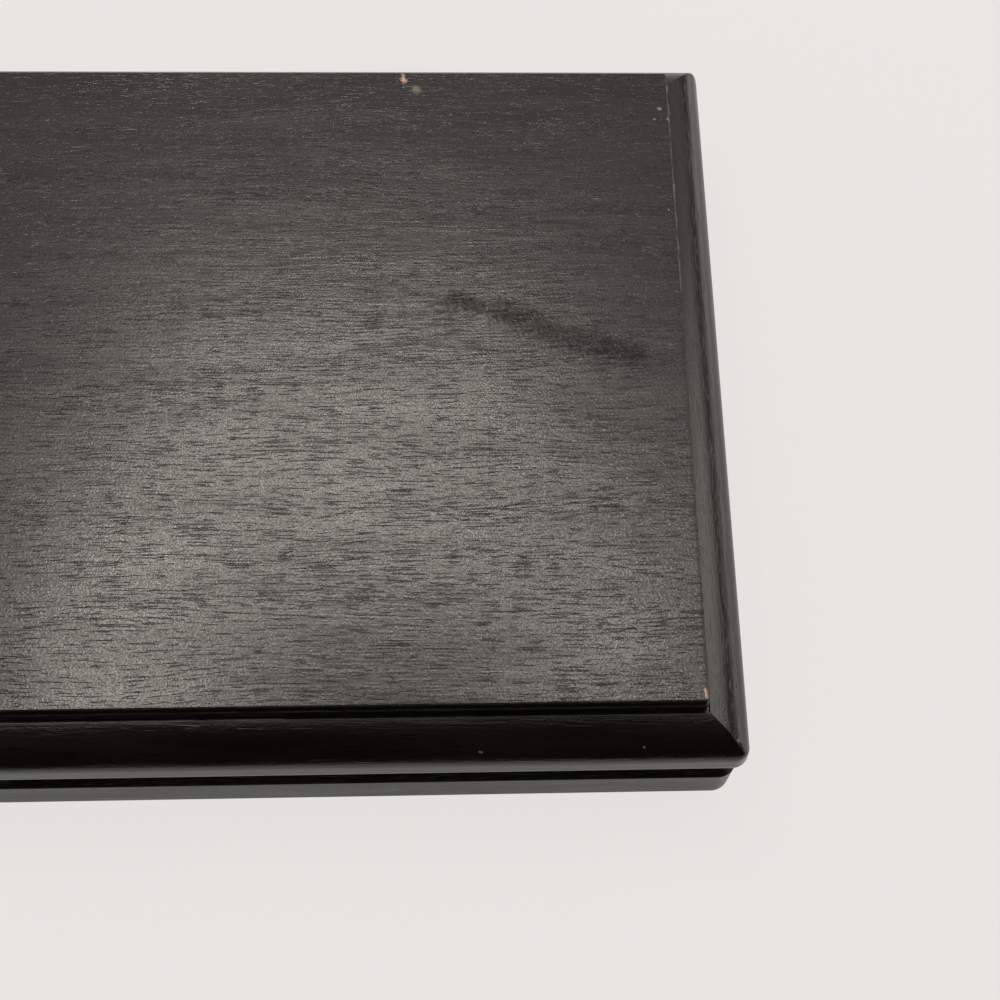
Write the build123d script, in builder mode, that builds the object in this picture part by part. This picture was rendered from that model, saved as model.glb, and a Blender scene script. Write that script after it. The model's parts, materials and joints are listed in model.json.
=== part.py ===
# Jewelry valet box: a shallow case in dark stained wood with a hinged, overhanging lid.
# The frame stands on the middle of the underside: X to the right, Y to the back, Z up, in millimetres.
# Every section is drawn beside the edge of the raised top panel, with x as the distance outside that edge.
from build123d import *
from math import acos, degrees, radians, sqrt, tan
import os

# Outline, at the edge of the raised top panel
panel_length = 280.0
panel_depth = 204.0
panel_corner_radius = 0.8

# Heights, from the table upwards
felt_thickness = 1.0
case_height = 26.0
seam_gap = 0.3
panel_thickness = 7.4
veneer_thickness = 0.6

# Stepped edge of the panel and the groove round its foot
upper_edge_height = 3.6
ledge_width = 0.5
groove_width = 0.8
groove_depth = 1.3

# Lid moulding
nose_reach = 12.5
nose_radius = 13.5
nose_lift = 4.2
lid_corner_radius = 3.0

# Case walls and bottom board
wall_outset = 7.0
wall_inset = 4.0
board_thickness = 3.0
board_rebate = 5.0
board_clearance = 0.1

# Plinth moulding and felt
base_reach = 11.5
base_face_height = 14.0
bevel_width = 2.5
bevel_height = 5.0
base_corner_radius = 5.5
felt_inset = 3.0
felt_corner_radius = 2.5
edge_easing = 0.3

# Linings
lining_thickness = 1.5
lining_top_margin = 2.5
floor_lining_thickness = 2.0
lining_clearance = 0.2
pad_thickness = 3.0
pad_clearance = 0.3
pad_edge_radius = 1.2

# Dividers and compartments
divider_thickness = 4.0
divider_height = 18.0
catch_all_width = 118.0
ring_bay_depth = 100.0
small_cells = 3

# Ring rolls
roll_count = 5
roll_height = 17.0
roll_dome_rise = 8.0
roll_draw_in = 1.0
roll_clearance = 0.3
roll_end_radius = 3.0

# Butt hinges
hinge_inset = 55.0
hinge_length = 30.0
leaf_width = 9.0
leaf_thickness = 1.0
barrel_radius = 2.0
barrel_clearance = 0.3
axis_outset = 0.8
knuckle_count = 5
knuckle_clearance = 0.2
pin_radius = 0.9
pin_clearance = 0.05
pin_head_radius = 1.5
pin_head_height = 0.6
mortise_clearance = 0.1

# Hinge screws
screws_per_leaf = 3
screw_pitch = 9.5
screw_shank_radius = 0.9
screw_head_radius = 1.7
screw_length = 7.0
screw_tip_length = 1.8
screw_clearance = 0.05
screw_line = 5.8
countersink_angle = 90.0
slot_width = 0.5
slot_depth = 0.4

# Levels and half sizes that follow from the values above
case_foot = felt_thickness
case_top = case_foot + case_height
lid_bottom = case_top + seam_gap
nose_level = lid_bottom + nose_lift
nose_centre_x = nose_reach - nose_radius
shoulder_x = ledge_width + groove_width
shoulder_level = nose_level + sqrt(nose_radius**2 - (shoulder_x - nose_centre_x) ** 2)
seat_level = shoulder_level - groove_depth
core_top = seat_level + panel_thickness
lid_top = core_top + veneer_thickness
ledge_level = lid_top - upper_edge_height
floor_level = case_foot + board_thickness
lining_level = floor_level + floor_lining_thickness
axis_level = case_top + seam_gap / 2
axis_y = panel_depth / 2 + wall_outset + axis_outset
inner_length = panel_length - 2 * wall_inset
inner_depth = panel_depth - 2 * wall_inset
hinge_x = panel_length / 2 + wall_outset - hinge_inset

outward = {
    "front": Vector(0, -1, 0),
    "back": Vector(0, 1, 0),
    "left": Vector(-1, 0, 0),
    "right": Vector(1, 0, 0),
}


def half_across(side):
    """Distance from the middle of the box to the panel edge on this side."""
    return panel_depth / 2 if side in ("front", "back") else panel_length / 2


def half_run(side):
    """Half the length of the panel edge on this side."""
    return panel_length / 2 if side in ("front", "back") else panel_depth / 2


def mitred_length(side, section, reach):
    """One of four lengths with this section, cut at 45 degrees at both ends."""
    out = outward[side]
    run = out.cross(Vector(0, 0, 1))
    edge_middle = out * half_across(side)
    with BuildPart() as length:
        with BuildSketch(Plane(origin=edge_middle, x_dir=out, z_dir=run)):
            add(section)
        extrude(amount=half_run(side) + reach, both=True)
        for end in (-1, 1):
            corner = edge_middle + run * (end * half_run(side))
            split(bisect_by=Plane(origin=corner, z_dir=out - run * end), keep=Keep.TOP)
    return length.part


def save(piece, name):
    """Label a finished piece and write it under its own name."""
    piece.label = name
    export_step(piece, f"parts/{name}.step")


os.makedirs("parts", exist_ok=True)

# Lid mouldings: a quarter round from the panel's foot down to a rounded nose
shoulder_angle = degrees(acos((shoulder_x - nose_centre_x) / nose_radius))
with BuildSketch() as lid_section:
    with BuildLine():
        under = CenterArc((nose_reach - nose_lift, nose_level), nose_lift, -90, 90)
        over = CenterArc((nose_centre_x, nose_level), nose_radius, 0, shoulder_angle)
        Polyline(
            over @ 1,
            (shoulder_x, seat_level),
            (-wall_inset, seat_level),
            (-wall_inset, lid_bottom),
            under @ 0,
        )
    make_face()
    fillet(lid_section.vertices().sort_by(Axis.Y)[-1], edge_easing)

# Case walls: a rebate along the foot takes the bottom board
with BuildSketch() as wall_section:
    with BuildLine():
        Polyline(
            (-wall_inset, case_top),
            (wall_outset, case_top),
            (wall_outset, case_foot),
            (board_rebate - wall_inset, case_foot),
            (board_rebate - wall_inset, floor_level),
            (-wall_inset, floor_level),
            close=True,
        )
    make_face()

# Plinth mouldings: an upright face under a steep bevel, glued to the walls
base_face_top = case_foot + base_face_height
with BuildSketch() as base_section:
    with BuildLine():
        Polyline(
            (wall_outset, case_foot),
            (base_reach, case_foot),
            (base_reach, base_face_top),
            (base_reach - bevel_width, base_face_top + bevel_height),
            (wall_outset, base_face_top + bevel_height),
            close=True,
        )
    make_face()
    fillet(base_section.vertices().group_by(Axis.X)[-1], edge_easing)

# Wall linings: velvet-covered strips standing on the floor lining
with BuildSketch() as lining_section:
    with BuildLine():
        Polyline(
            (-wall_inset, lining_level),
            (-wall_inset - lining_thickness, lining_level),
            (-wall_inset - lining_thickness, case_top - lining_top_margin),
            (-wall_inset, case_top - lining_top_margin),
            close=True,
        )
    make_face()

hinge_xs = {"left": -hinge_x, "right": hinge_x}


def screw_planes(x, level, facing):
    """The planes of one leaf's screws, on the face of the leaf, facing out of it."""
    first = x - screw_pitch * (screws_per_leaf - 1) / 2
    return [
        Plane(origin=(first + i * screw_pitch, axis_y - screw_line, level), z_dir=(0, 0, facing))
        for i in range(screws_per_leaf)
    ]


def hinge_cut(x, face, up):
    """The room that one leaf takes in the wood: its mortise, the barrel's slot and the pilot holes."""
    with BuildPart() as cut:
        with BuildSketch(Plane.XY.offset(face)):
            with Locations((x, axis_y - leaf_width / 2)):
                Rectangle(hinge_length + 2 * mortise_clearance, leaf_width)
        extrude(amount=up * leaf_thickness)
        with BuildSketch(Plane.YZ.offset(x)):
            with Locations((axis_y, axis_level)):
                Circle(barrel_radius + barrel_clearance)
        extrude(amount=hinge_length / 2 + pin_head_height + mortise_clearance, both=True)
        for plane in screw_planes(x, face, -up):
            with BuildSketch(plane):
                Circle(screw_shank_radius + screw_clearance)
            extrude(amount=-screw_length - screw_clearance)
    return cut.part


for side in outward:
    # Lid moulding, its nose rounded off in plan at the corners
    with BuildPart() as lid_moulding:
        add(mitred_length(side, lid_section.sketch, nose_reach))
        with BuildSketch():
            RectangleRounded(
                panel_length + 2 * nose_reach, panel_depth + 2 * nose_reach, lid_corner_radius
            )
        extrude(amount=lid_top, mode=Mode.INTERSECT)
        if side == "back":
            for x in hinge_xs.values():
                add(hinge_cut(x, lid_bottom, 1), mode=Mode.SUBTRACT)
    save(lid_moulding.part, f"lid_moulding_{side}")

    # Case wall
    with BuildPart() as case_wall:
        add(mitred_length(side, wall_section.sketch, wall_outset))
        if side == "back":
            for x in hinge_xs.values():
                add(hinge_cut(x, case_top, -1), mode=Mode.SUBTRACT)
    save(case_wall.part, f"case_wall_{side}")

    # Plinth moulding, rounded round the corner in plan
    with BuildPart() as base_moulding:
        add(mitred_length(side, base_section.sketch, base_reach))
        with BuildSketch():
            RectangleRounded(
                panel_length + 2 * base_reach, panel_depth + 2 * base_reach, base_corner_radius
            )
        extrude(amount=case_top, mode=Mode.INTERSECT)
    save(base_moulding.part, f"base_moulding_{side}")

    # Wall lining
    with BuildPart() as wall_lining:
        add(mitred_length(side, lining_section.sketch, 0))
    save(wall_lining.part, f"wall_lining_{side}")

# Lid panel: the board under the veneer, wider below its ledge
with BuildPart() as lid_panel:
    with BuildSketch(Plane.XY.offset(seat_level)):
        RectangleRounded(
            panel_length + 2 * ledge_width, panel_depth + 2 * ledge_width, panel_corner_radius + ledge_width
        )
    extrude(amount=ledge_level - seat_level)
    with BuildSketch(Plane.XY.offset(ledge_level)):
        RectangleRounded(panel_length, panel_depth, panel_corner_radius)
    extrude(amount=core_top - ledge_level)
save(lid_panel.part, "lid_panel")

# Lid veneer: a thin sheet over the whole panel, its upper edge rubbed round
with BuildPart() as lid_veneer:
    with BuildSketch(Plane.XY.offset(core_top)):
        RectangleRounded(panel_length, panel_depth, panel_corner_radius)
    extrude(amount=veneer_thickness)
    fillet(lid_veneer.faces().sort_by(Axis.Z)[-1].edges(), edge_easing)
save(lid_veneer.part, "lid_veneer")

# Lid pad: foam-backed velvet under the panel, soft along its lower edge
with BuildPart() as lid_pad:
    with BuildSketch(Plane.XY.offset(seat_level - pad_thickness)):
        Rectangle(inner_length - 2 * pad_clearance, inner_depth - 2 * pad_clearance)
    extrude(amount=pad_thickness)
    fillet(lid_pad.faces().sort_by(Axis.Z)[0].edges(), pad_edge_radius)
save(lid_pad.part, "lid_pad")

# Bottom board, let into the walls from below
with BuildPart() as case_bottom:
    board_grow = board_rebate - wall_inset - board_clearance
    with BuildSketch(Plane.XY.offset(case_foot)):
        Rectangle(panel_length + 2 * board_grow, panel_depth + 2 * board_grow)
    extrude(amount=board_thickness)
save(case_bottom.part, "case_bottom")

# Felt sheet under the whole box
with BuildPart() as base_felt:
    felt_grow = base_reach - felt_inset
    with BuildSketch():
        RectangleRounded(
            panel_length + 2 * felt_grow, panel_depth + 2 * felt_grow, felt_corner_radius
        )
    extrude(amount=felt_thickness)
save(base_felt.part, "base_felt")

# Floor lining, between the walls and under the strips and dividers
with BuildPart() as floor_lining:
    with BuildSketch(Plane.XY.offset(floor_level)):
        Rectangle(inner_length - 2 * lining_clearance, inner_depth - 2 * lining_clearance)
    extrude(amount=floor_lining_thickness)
save(floor_lining.part, "floor_lining")

# Compartments: the room between the linings is shared out from the right and from the back
room_x = inner_length / 2 - lining_thickness
room_y = inner_depth / 2 - lining_thickness
long_x = room_x - catch_all_width - divider_thickness / 2
cross_y = room_y - ring_bay_depth - divider_thickness / 2
left_room_end = long_x - divider_thickness / 2
front_room_end = cross_y - divider_thickness / 2

# Dividers: velvet over card, with a rounded top edge
with BuildSketch() as divider_section:
    with BuildLine():
        top_arc = CenterArc((0, divider_height - divider_thickness / 2), divider_thickness / 2, 0, 180)
        Polyline(top_arc @ 1, (-divider_thickness / 2, 0), (divider_thickness / 2, 0), top_arc @ 0)
    make_face()

with BuildPart() as divider_long:
    start = Plane(origin=(long_x, room_y - lining_clearance, lining_level), x_dir=(1, 0, 0), z_dir=(0, -1, 0))
    with BuildSketch(start):
        add(divider_section.sketch)
    extrude(amount=2 * (room_y - lining_clearance))
save(divider_long.part, "divider_long")

with BuildPart() as divider_cross:
    start = Plane(origin=(-room_x + lining_clearance, cross_y, lining_level), x_dir=(0, 1, 0), z_dir=(1, 0, 0))
    with BuildSketch(start):
        add(divider_section.sketch)
    extrude(amount=left_room_end + room_x - 2 * lining_clearance)
save(divider_cross.part, "divider_cross")

cell_width = (left_room_end + room_x - (small_cells - 1) * divider_thickness) / small_cells
for i in range(1, small_cells):
    x = -room_x + i * cell_width + (i - 0.5) * divider_thickness
    with BuildPart() as divider_short:
        start = Plane(
            origin=(x, front_room_end - lining_clearance, lining_level), x_dir=(1, 0, 0), z_dir=(0, -1, 0)
        )
        with BuildSketch(start):
            add(divider_section.sketch)
        extrude(amount=front_room_end + room_y - 2 * lining_clearance)
    save(divider_short.part, f"divider_short_{i}")

# Ring rolls: foam under velvet, flat below, bulging at the sides, domed above and rounded at the ends
roll_pitch = ring_bay_depth / roll_count
roll_half = (roll_pitch - roll_clearance) / 2
roll_foot = roll_half - roll_draw_in
roll_shoulder = roll_height - roll_dome_rise
roll_start = -room_x + roll_clearance
roll_length = left_room_end - roll_clearance - roll_start
for i in range(roll_count):
    roll_y = room_y - (i + 0.5) * roll_pitch
    with BuildPart() as ring_roll:
        end_plane = Plane(origin=(roll_start, roll_y, lining_level), x_dir=(0, 1, 0), z_dir=(1, 0, 0))
        with BuildSketch(end_plane):
            with BuildLine():
                ThreePointArc((-roll_foot, roll_shoulder), (0, roll_height), (roll_foot, roll_shoulder))
                ThreePointArc((roll_foot, roll_shoulder), (roll_half, roll_shoulder / 2), (roll_foot, 0))
                Line((roll_foot, 0), (-roll_foot, 0))
                ThreePointArc((-roll_foot, 0), (-roll_half, roll_shoulder / 2), (-roll_foot, roll_shoulder))
            make_face()
        extrude(amount=roll_length)
        with BuildSketch(Plane.XY.offset(lining_level)):
            with Locations((roll_start + roll_length / 2, roll_y)):
                RectangleRounded(roll_length, 2 * roll_half, roll_end_radius)
        extrude(amount=roll_height, mode=Mode.INTERSECT)
        with BuildSketch(Plane.XZ.offset(-roll_y)) as roll_side:
            with Locations((roll_start + roll_length / 2, lining_level + roll_height / 2)):
                Rectangle(roll_length, roll_height)
            fillet(roll_side.vertices().group_by(Axis.Z)[-1], roll_end_radius)
        extrude(amount=roll_half, both=True, mode=Mode.INTERSECT)
    save(ring_roll.part, f"ring_roll_{i + 1}")

# Butt hinges: each leaf carries every other knuckle of the barrel
knuckle_pitch = hinge_length / knuckle_count


def hinge_leaf(x, face, up, first_knuckle):
    """One leaf, lying against its mortise, with its knuckles and countersunk holes."""
    plate_width = leaf_width - barrel_radius - barrel_clearance
    with BuildPart() as leaf:
        with BuildSketch(Plane.XY.offset(face)):
            with Locations((x, axis_y - leaf_width + plate_width / 2)):
                Rectangle(hinge_length, plate_width)
        extrude(amount=up * leaf_thickness)
        for i in range(first_knuckle, knuckle_count, 2):
            knuckle_start = x - hinge_length / 2 + i * knuckle_pitch + knuckle_clearance / 2
            with BuildSketch(Plane.YZ.offset(knuckle_start)):
                with Locations((axis_y, axis_level)):
                    Circle(barrel_radius)
                with Locations((axis_y - (leaf_width - plate_width) / 2, face + up * leaf_thickness / 2)):
                    Rectangle(leaf_width - plate_width, leaf_thickness)
            extrude(amount=knuckle_pitch - knuckle_clearance)
        with BuildSketch(Plane.YZ.offset(x)):
            with Locations((axis_y, axis_level)):
                Circle(pin_radius + pin_clearance)
        extrude(amount=hinge_length, both=True, mode=Mode.SUBTRACT)
        with Locations(*screw_planes(x, face, -up)):
            CounterSinkHole(
                screw_shank_radius + screw_clearance,
                screw_head_radius + screw_clearance,
                counter_sink_angle=countersink_angle,
            )
    return leaf.part


for side, x in hinge_xs.items():
    save(hinge_leaf(x, case_top, -1, 0), f"case_hinge_leaf_{side}")
    save(hinge_leaf(x, lid_bottom, 1, 1), f"lid_hinge_leaf_{side}")

    # Hinge pin, headed at both ends
    with BuildPart() as hinge_pin:
        with BuildSketch(Plane.YZ.offset(x)):
            with Locations((axis_y, axis_level)):
                Circle(pin_radius)
        extrude(amount=hinge_length / 2, both=True)
        for end in (-1, 1):
            with BuildSketch(Plane.YZ.offset(x + end * hinge_length / 2)):
                with Locations((axis_y, axis_level)):
                    Circle(pin_head_radius)
            extrude(amount=end * pin_head_height)
        fillet(hinge_pin.edges().filter_by(GeomType.CIRCLE).group_by(Axis.X)[0], pin_head_height / 2)
        fillet(hinge_pin.edges().filter_by(GeomType.CIRCLE).group_by(Axis.X)[-1], pin_head_height / 2)
    save(hinge_pin.part, f"hinge_pin_{side}")

# Hinge screws: countersunk, slotted, pointed
screw_head_depth = (screw_head_radius - screw_shank_radius) / tan(radians(countersink_angle / 2))
with BuildPart() as screw:
    with BuildSketch(Plane.XZ):
        with BuildLine():
            Polyline(
                (0, 0),
                (screw_head_radius, 0),
                (screw_shank_radius, -screw_head_depth),
                (screw_shank_radius, screw_tip_length - screw_length),
                (0, -screw_length),
                close=True,
            )
        make_face()
    revolve(axis=Axis.Z)
    with BuildSketch():
        Rectangle(2 * screw_head_radius, slot_width)
    extrude(amount=-slot_depth, mode=Mode.SUBTRACT)

for owner, face, facing in (("case", case_top, 1), ("lid", lid_bottom, -1)):
    with BuildPart() as hinge_screws:
        for x in hinge_xs.values():
            with Locations(*screw_planes(x, face, facing)):
                add(screw.part)
    save(hinge_screws.part, f"{owner}_hinge_screws")
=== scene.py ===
import json

import bmesh
import bpy
import numpy as np
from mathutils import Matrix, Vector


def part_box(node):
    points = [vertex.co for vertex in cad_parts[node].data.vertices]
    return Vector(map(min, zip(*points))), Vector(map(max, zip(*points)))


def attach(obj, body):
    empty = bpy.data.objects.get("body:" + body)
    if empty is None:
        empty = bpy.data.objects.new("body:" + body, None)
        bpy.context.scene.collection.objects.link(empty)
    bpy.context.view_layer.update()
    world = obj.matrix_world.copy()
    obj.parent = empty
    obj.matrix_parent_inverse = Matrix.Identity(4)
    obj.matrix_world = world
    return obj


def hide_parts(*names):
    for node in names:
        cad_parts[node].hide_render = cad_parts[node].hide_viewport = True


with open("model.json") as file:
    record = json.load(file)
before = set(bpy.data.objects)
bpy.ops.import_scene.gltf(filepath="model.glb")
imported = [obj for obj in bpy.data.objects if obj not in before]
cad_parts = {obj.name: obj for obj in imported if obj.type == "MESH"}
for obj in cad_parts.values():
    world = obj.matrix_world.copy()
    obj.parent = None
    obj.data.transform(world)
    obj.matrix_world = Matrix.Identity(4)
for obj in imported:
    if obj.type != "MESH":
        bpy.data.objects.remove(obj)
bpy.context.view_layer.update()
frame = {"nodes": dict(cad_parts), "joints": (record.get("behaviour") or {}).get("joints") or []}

# Base felt
# One sheet of black wool felt, 1 mm thick, glued under the plinth and set in from its edge.
# Its face is a mat of short fibres and its cut edge is slightly soft.
mm = 0.001


def arc(x, z, radius, start, end, steps=6):
    """Points of a circle: (x + radius cos a, z + radius sin a), where a goes evenly from start to end,
    in degrees."""
    angle = np.radians(np.linspace(start, end, steps + 1))
    return np.stack([x + radius * np.cos(angle), z + radius * np.sin(angle)], axis=1)


def slab(low, high, corner, edge, step):
    """Sheets of points for a flat piece that fills the plan from low to high, with rounded corners.
    A point of the outline is the rectangle drawn in by the corner radius, plus (radius + x) times the
    outward normal, where (x, z) runs down the edge profile. Two flat grids close the form above and
    below."""
    centre = np.array([low[0] + high[0], low[1] + high[1]]) / 2
    half = np.array([high[0] - low[0], high[1] - low[1]]) / 2 - corner
    counts = np.ceil(2 * half / step).astype(int) + 1
    bend = np.linspace(0, 90, 9)[1:]
    base, normal = [], []
    for quarter in range(4):
        run_half, out_half = half[quarter % 2], half[1 - quarter % 2]
        straight = np.linspace(-run_half, run_half, counts[quarter % 2])
        along = np.concatenate([straight, np.full(len(bend), run_half)])
        turn = np.radians(90 * (quarter - 1) + np.concatenate([0 * straight, bend]))
        run = np.radians(90 * quarter)
        onward, aside = np.array([np.cos(run), np.sin(run)]), np.array([np.sin(run), -np.cos(run)])
        base.append(np.outer(along, onward) + out_half * aside)
        normal.append(np.stack([np.cos(turn), np.sin(turn)], axis=1))
    base = np.concatenate(base + [base[0][:1]])
    normal = np.concatenate(normal + [normal[0][:1]])
    top, bottom = edge[0, 1], edge[-1, 1]
    edge = np.concatenate([[[-corner, top]], edge, [[-corner, bottom]]])
    plan = centre + base[None] + (corner + edge[:, None, :1]) * normal[None]
    height = np.broadcast_to(edge[:, None, 1:], plan.shape[:2] + (1,))
    sheets = [[np.concatenate([plan, height], axis=2), plan + (top - height) * normal[None]]]
    v, u = np.meshgrid(np.linspace(-1, 1, counts[1]), np.linspace(-1, 1, counts[0]), indexing="ij")
    plan = centre + np.stack([u * half[0], v * half[1]], axis=2)
    for level in (top, bottom):
        height = np.full(plan.shape[:2] + (1,), level)
        sheets.append([np.concatenate([plan, height], axis=2), plan])
    return sheets


def add_piece(name, sheets, ends=False, crease=38.0):
    """One closed mesh from sheets, each a grid of points with a grid of flat coordinates, all in metres.
    Neighbouring points make the faces, grids are welded where they meet, an open tube's first and last
    rows are closed by a flat face, and every normal is turned outwards."""
    points, flats, faces, first = [], [], [], 0
    for place, flat in sheets:
        rows, columns = place.shape[:2]
        index = first + np.arange(rows * columns).reshape(rows, columns)
        corners = [index[:-1, :-1], index[:-1, 1:], index[1:, 1:], index[1:, :-1]]
        faces += np.stack(corners, axis=-1).reshape(-1, 4).tolist()
        if ends:
            faces += [index[0, :-1].tolist(), index[-1, :-1].tolist()]
        points.append(place.reshape(-1, 3))
        flats.append(flat.reshape(-1, 2))
        first += rows * columns
    mesh = bpy.data.meshes.new(name)
    mesh.from_pydata(np.concatenate(points).tolist(), [], faces)
    owner = np.empty(len(mesh.loops), np.int32)
    mesh.loops.foreach_get("vertex_index", owner)
    layer = mesh.uv_layers.new(name="grain")
    layer.data.foreach_set("uv", np.concatenate(flats)[owner].astype(np.float32).ravel())
    work = bmesh.new()
    work.from_mesh(mesh)
    bmesh.ops.remove_doubles(work, verts=work.verts, dist=0.002 * mm)
    bmesh.ops.recalc_face_normals(work, faces=work.faces)
    work.to_mesh(mesh)
    work.free()
    mesh.shade_smooth()
    mesh.set_sharp_from_angle(angle=np.radians(crease))
    piece = bpy.data.objects.new(name, mesh)
    bpy.context.scene.collection.objects.link(piece)
    return piece


def srgb(code):
    """Linear colour of an sRGB hex code: c / 12.92 up to 0.04045, and ((c + 0.055) / 1.055)^2.4 above."""
    c = np.array([int(code[i:i + 2], 16) for i in (1, 3, 5)]) / 255
    linear = np.where(c <= 0.04045, c / 12.92, ((c + 0.055) / 1.055) ** 2.4)
    return (*linear.tolist(), 1.0)


def node(tree, kind, sockets, **settings):
    """Adds one node. A socket, by name or number, takes another node's output, or else a plain value."""
    made = tree.nodes.new(kind)
    for name, value in settings.items():
        setattr(made, name, value)
    for name, value in sockets.items():
        if isinstance(value, bpy.types.Node):
            tree.links.new(value.outputs[0], made.inputs[name])
        elif isinstance(value, bpy.types.NodeSocket):
            tree.links.new(value, made.inputs[name])
        else:
            made.inputs[name].default_value = value
    return made


def new_material(name):
    """An empty node material and its tree."""
    material = bpy.data.materials.new(name)
    material.use_nodes = True
    material.node_tree.nodes.clear()
    return material, material.node_tree


def pressed_wool_felt():
    """Black pressed wool: no gloss and a faint fuzz at grazing angles. Its fibres are drawn about 0.5 mm
    across, coarser than real so that they show, in clumps of 6 mm."""
    material, tree = new_material("pressed_wool_felt_black")
    place = node(tree, "ShaderNodeTexCoord", {}).outputs["Object"]
    fibre = node(tree, "ShaderNodeTexNoise", {"Vector": place, "Scale": 1 / (0.5 * mm), "Detail": 3.0})
    clump = node(tree, "ShaderNodeTexNoise", {"Vector": place, "Scale": 1 / (6 * mm), "Detail": 2.0})
    mat = node(tree, "ShaderNodeMath", {0: fibre, 1: clump}, operation="MULTIPLY")
    colour = node(tree, "ShaderNodeMix", {"Factor": mat, "A": srgb("#0b0b0b"), "B": srgb("#2c2a29")},
                  data_type="RGBA")
    relief = node(tree, "ShaderNodeBump", {"Height": fibre, "Distance": 0.25 * mm, "Strength": 0.8})
    surface = node(tree, "ShaderNodeBsdfPrincipled", {
        "Base Color": colour.outputs["Result"], "Roughness": 0.95, "Specular IOR Level": 0.2,
        "Sheen Weight": 0.3, "Sheen Roughness": 0.6, "Normal": relief})
    node(tree, "ShaderNodeOutputMaterial", {"Surface": surface})
    return material


felt_low, felt_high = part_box("base_felt")
felt_soft, felt_corner = 0.25 * mm, 2.5 * mm
felt_edge = np.concatenate([
    arc(-felt_soft, felt_high.z - felt_soft, felt_soft, 90, 0, 3),
    arc(-felt_soft, felt_low.z + felt_soft, felt_soft, 0, -90, 3),
])
felt = add_piece("base_felt_sheet", slab(felt_low, felt_high, felt_corner, felt_edge, step=12 * mm))
felt.data.materials.append(pressed_wool_felt())
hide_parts("base_felt")
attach(felt, "case")

# Bottom board
# A 3 mm hardboard panel let into a rebate in the walls from below, smooth side up.
# Only its underside would show, and the felt and the floor lining cover both faces.


def hardboard():
    """Tempered hardboard: brown pressed fibre, dull, with darker fibre bundles about 2 mm long."""
    material, tree = new_material("hardboard_tempered")
    place = node(tree, "ShaderNodeTexCoord", {}).outputs["Object"]
    bundles = node(tree, "ShaderNodeTexNoise", {"Vector": place, "Scale": 1 / (2 * mm), "Detail": 4.0})
    colour = node(tree, "ShaderNodeMix", {"Factor": bundles, "A": srgb("#4a3322"), "B": srgb("#7a5a3c")},
                  data_type="RGBA")
    relief = node(tree, "ShaderNodeBump", {"Height": bundles, "Distance": 0.08 * mm, "Strength": 0.6})
    surface = node(tree, "ShaderNodeBsdfPrincipled", {
        "Base Color": colour.outputs["Result"], "Roughness": 0.7, "IOR": 1.5, "Normal": relief})
    node(tree, "ShaderNodeOutputMaterial", {"Surface": surface})
    return material


def finish_node(name, material):
    """Gives a CAD node that stays in view one material."""
    slots = frame["nodes"][name].data.materials
    slots.clear()
    slots.append(material)


finish_node("case_bottom", hardboard())

# Case walls
# Four lengths of solid wood, 11 mm thick and 26 mm high, mitred at the corners and rebated for the board.
# They are stained black-brown under a thin lacquer that leaves the pores open, and the back one is let in
# for the hinges.


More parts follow.
